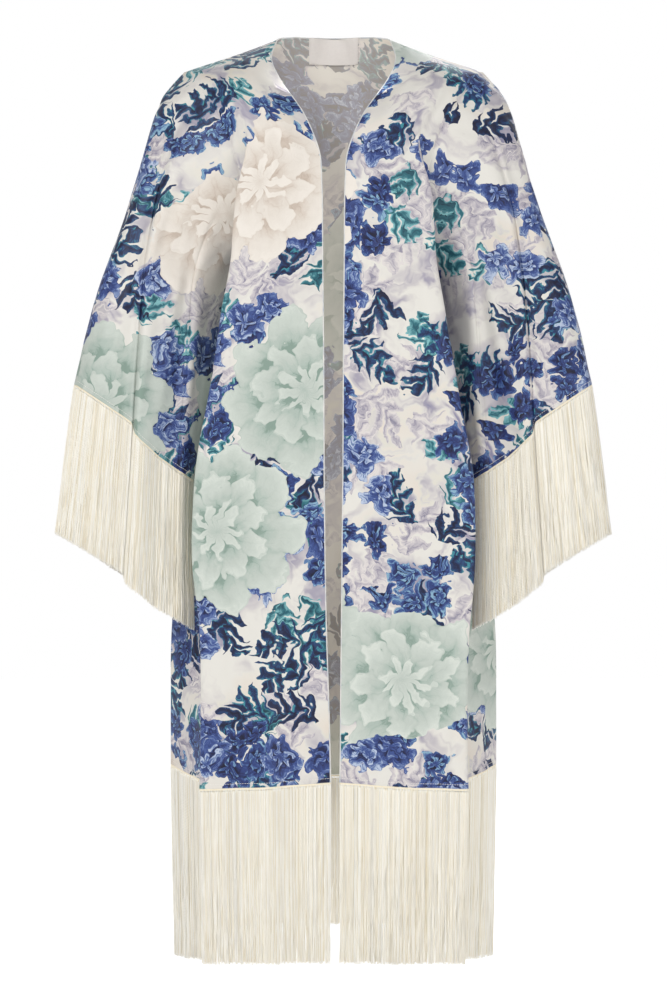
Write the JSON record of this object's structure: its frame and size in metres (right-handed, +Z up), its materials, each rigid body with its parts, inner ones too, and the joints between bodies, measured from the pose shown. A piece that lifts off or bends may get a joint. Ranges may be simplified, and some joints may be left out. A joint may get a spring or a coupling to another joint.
{
  "type": "fringed kimono robe",
  "caption": "Open kimono-style robe of printed satin with wide sleeves and long cream fringe at hem and cuffs, filled out as worn and hollow.",
  "frame": {"origin": "midway between the two neck points, at their height, where the wearer's shoulders hold the robe", "axes": "+Z up, the longest extent; the robe faces -Y, which with +Y is its shortest extent; +X towards the wearer's left"},
  "size_m": [0.7697, 0.255, 1.3093],
  "materials": {
    "printed_satin": "smooth printed satin with a soft sheen",
    "fringe_yarn": "cream twisted yarn with a silky sheen",
    "label": "blank woven label"
  },
  "bodies": {
    "root": {"front_right": "printed_satin", "front_left": "printed_satin", "back": "printed_satin", "sleeve_right": "printed_satin", "sleeve_left": "printed_satin", "label": "label", "hem_fringe": "fringe_yarn", "cuff_fringe_right": "fringe_yarn", "cuff_fringe_left": "fringe_yarn"}
  },
  "joints": []
}
